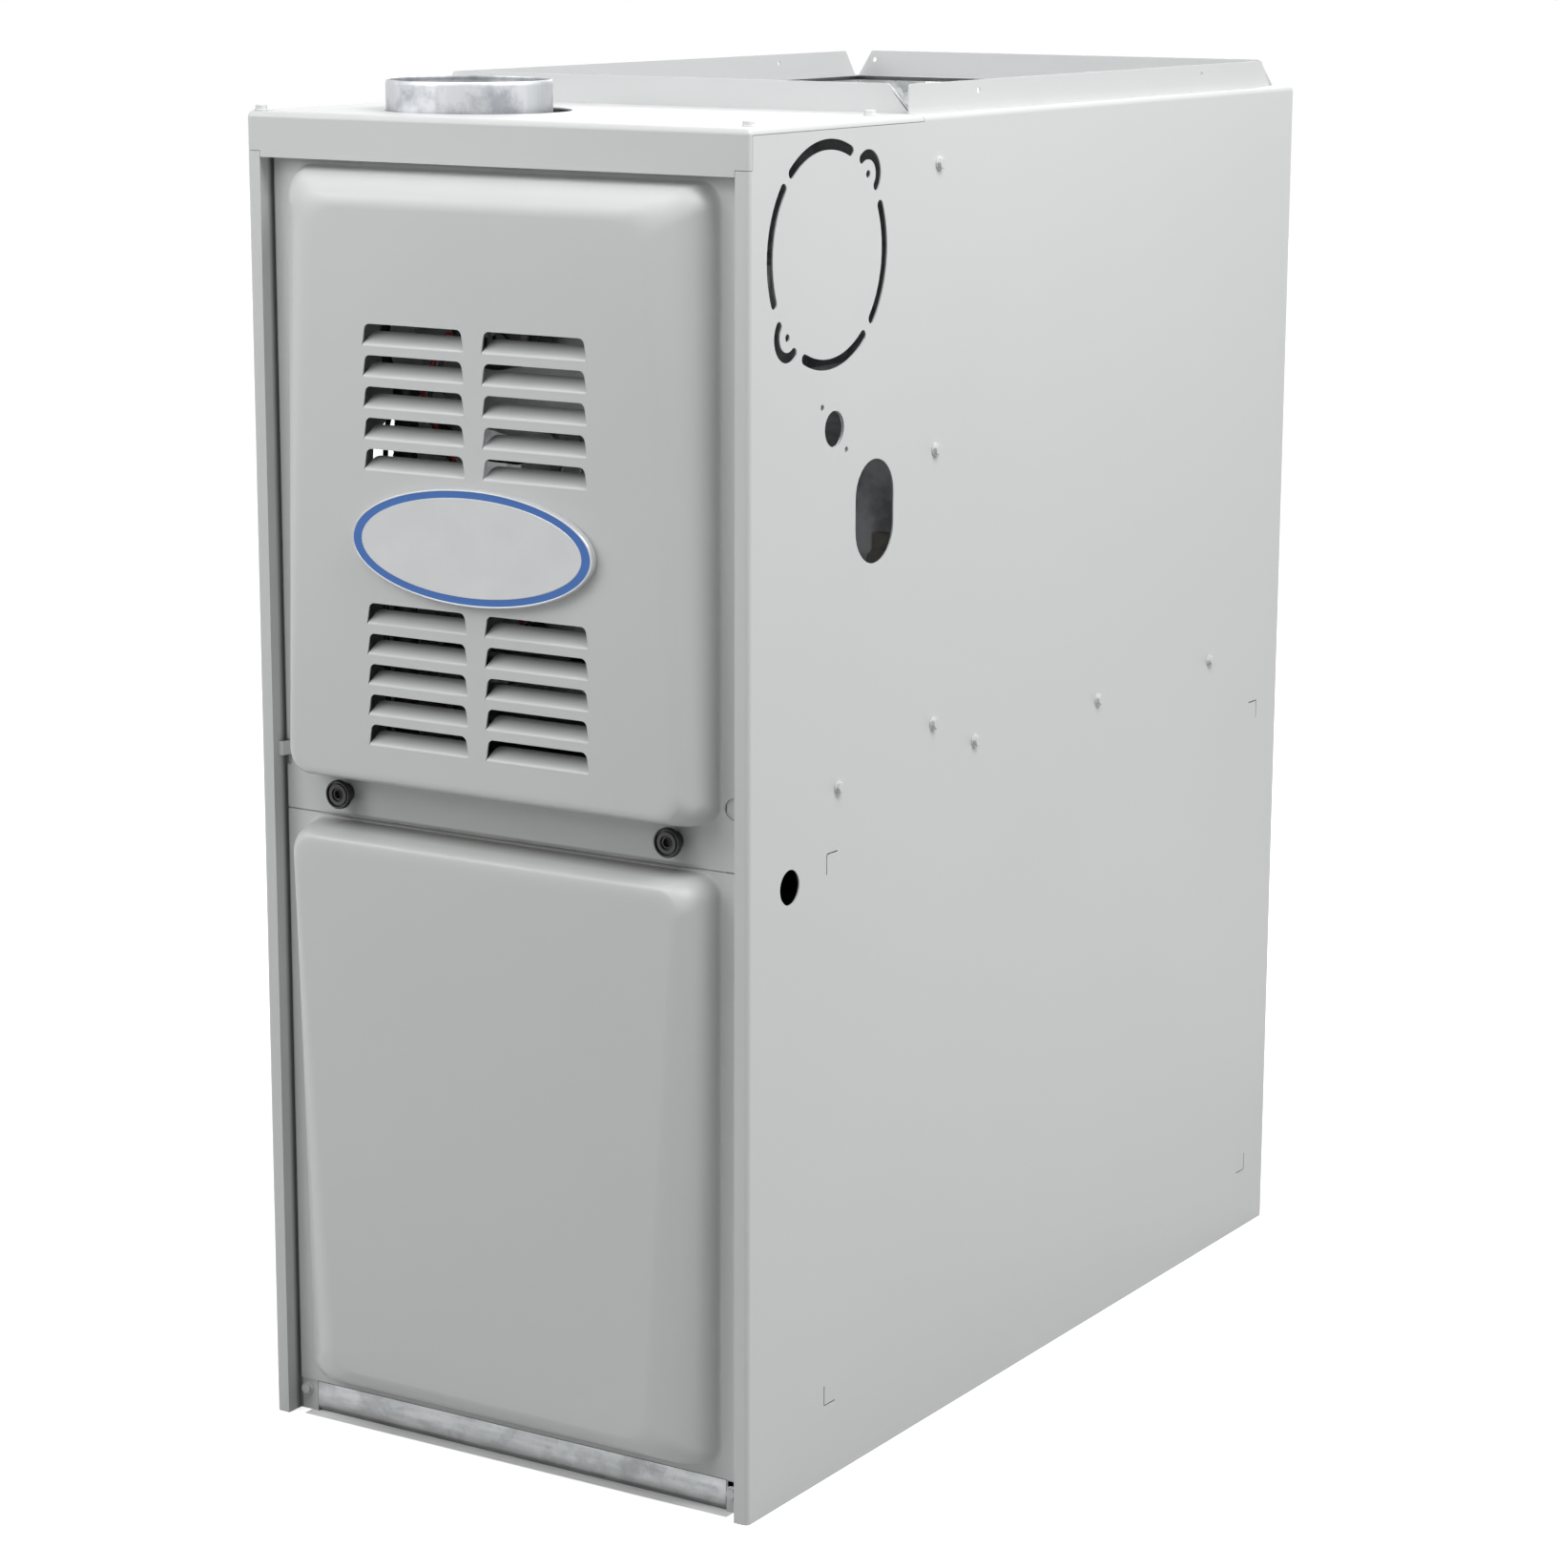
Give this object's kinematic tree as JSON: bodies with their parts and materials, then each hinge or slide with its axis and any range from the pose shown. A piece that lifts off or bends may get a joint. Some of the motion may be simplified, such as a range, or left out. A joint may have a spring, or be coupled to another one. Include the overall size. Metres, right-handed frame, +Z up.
{
  "type": "forced air gas furnace",
  "caption": "Upright upflow gas furnace cabinet with louvred upper door, plain lower door, top vent collar and duct flanges, and burners, heat exchanger, inducer and blower inside.",
  "frame": {"origin": "centre of the footprint, doors and nameplate included, on the floor", "axes": "+Z up, -Y out of the doors' faces, +X to the right seen from the front"},
  "size_m": [0.368, 0.748, 0.865],
  "materials": {
    "paint": "satin light grey powder paint",
    "galvanised": "galvanised sheet with spangle",
    "aluminised": "mottled aluminised steel",
    "black_plastic": "black moulded nylon",
    "nameplate": "silver satin face, blue rim",
    "foil": "crinkled foil facing",
    "dark_felt": "dark glass fibre mat",
    "motor_black": "black enamel",
    "cast_metal": "die cast and drawn aluminium",
    "circuit_board": "green solder mask",
    "ceramic": "white steatite",
    "rubber": "black silicone",
    "red_plastic": "red button",
    "wiring": "bundled insulated wires"
  },
  "bodies": {
    "cabinet": {"cabinet_wrap": "paint", "top_plate": "paint", "flue_collar": "aluminised", "base_pan": "galvanised", "blower_deck": "galvanised", "vestibule_panel": "aluminised", "heat_section_liner": "foil", "blower_section_liner": "dark_felt", "heat_exchanger_cell_1": "aluminised", "heat_exchanger_cell_2": "aluminised", "heat_exchanger_cell_3": "aluminised", "heat_exchanger_rest": "galvanised", "collector_box": "aluminised", "inducer_housing": "cast_metal", "inducer_motor": "motor_black", "flue_transition": "aluminised", "burner_rack": "aluminised", "burner_1": "aluminised", "burner_2": "aluminised", "burner_3": "aluminised", "gas_manifold": "motor_black", "gas_valve": "cast_metal", "igniter": "ceramic", "flame_sensor": "ceramic", "rollout_switch_left": "black_plastic", "rollout_switch_right": "black_plastic", "limit_switch": "ceramic", "pressure_switch": "galvanised", "pressure_hose": "rubber", "junction_box": "galvanised", "control_bracket": "galvanised", "control_board": "circuit_board", "transformer": "motor_black", "door_switch": "black_plastic", "wire_harness": "wiring", "blower_housing": "galvanised", "blower_motor": "motor_black", "motor_mount": "galvanised", "blower_capacitor": "cast_metal"},
    "upper_door": {"upper_door": "paint", "nameplate": "nameplate"},
    "lower_door": {"lower_door": "paint", "lower_door_liner": "dark_felt"},
    "door_knob_left": {"door_knob_left": "black_plastic", "door_knob_stud_left": "galvanised"},
    "door_knob_right": {"door_knob_right": "black_plastic", "door_knob_stud_right": "galvanised"},
    "blower_wheel": {"blower_wheel": "galvanised"},
    "inducer_wheel": {"inducer_wheel": "galvanised"},
    "gas_valve_knob": {"gas_valve_knob": "black_plastic"},
    "rollout_reset_left": {"rollout_reset_left": "red_plastic"},
    "rollout_reset_right": {"rollout_reset_right": "red_plastic"},
    "door_switch_plunger": {"door_switch_plunger": "ceramic"}
  },
  "joints": [
    {"name": "upper_door_removal", "type": "slide", "parent": "cabinet", "child": "upper_door", "axis": [0, -1, 0], "range_m": [0, 0.35]},
    {"name": "lower_door_removal", "type": "slide", "parent": "cabinet", "child": "lower_door", "axis": [0, -1, 0], "range_m": [0, 0.35]},
    {"name": "door_knob_left_turn", "type": "hinge", "parent": "upper_door", "child": "door_knob_left", "pos_m": [-0.1245, -0.344, 0.4215], "axis": [0, 1, 0], "range_deg": [0, 90]},
    {"name": "door_knob_right_turn", "type": "hinge", "parent": "upper_door", "child": "door_knob_right", "pos_m": [0.1245, -0.344, 0.4215], "axis": [0, 1, 0], "range_deg": [0, 90]},
    {"name": "blower_wheel_spin", "type": "hinge", "parent": "cabinet", "child": "blower_wheel", "pos_m": [0, 0.08, 0.205], "axis": [1, 0, 0], "continuous": true},
    {"name": "inducer_wheel_spin", "type": "hinge", "parent": "cabinet", "child": "inducer_wheel", "pos_m": [-0.019, -0.265, 0.725], "axis": [0, 1, 0], "continuous": true},
    {"name": "gas_valve_knob_turn", "type": "hinge", "parent": "cabinet", "child": "gas_valve_knob", "pos_m": [0.1268, -0.304, 0.598], "axis": [0, 1, 0], "range_deg": [0, 90]},
    {"name": "rollout_reset_left_press", "type": "slide", "parent": "cabinet", "child": "rollout_reset_left", "axis": [0, 1, 0], "range_m": [0, 0.0015], "stiffness_N_per_m": 200},
    {"name": "rollout_reset_right_press", "type": "slide", "parent": "cabinet", "child": "rollout_reset_right", "axis": [0, 1, 0], "range_m": [0, 0.0015], "stiffness_N_per_m": 200},
    {"name": "door_switch_plunger_press", "type": "slide", "parent": "cabinet", "child": "door_switch_plunger", "axis": [0, 1, 0], "range_m": [0, 0.003], "stiffness_N_per_m": 150}
  ]
}
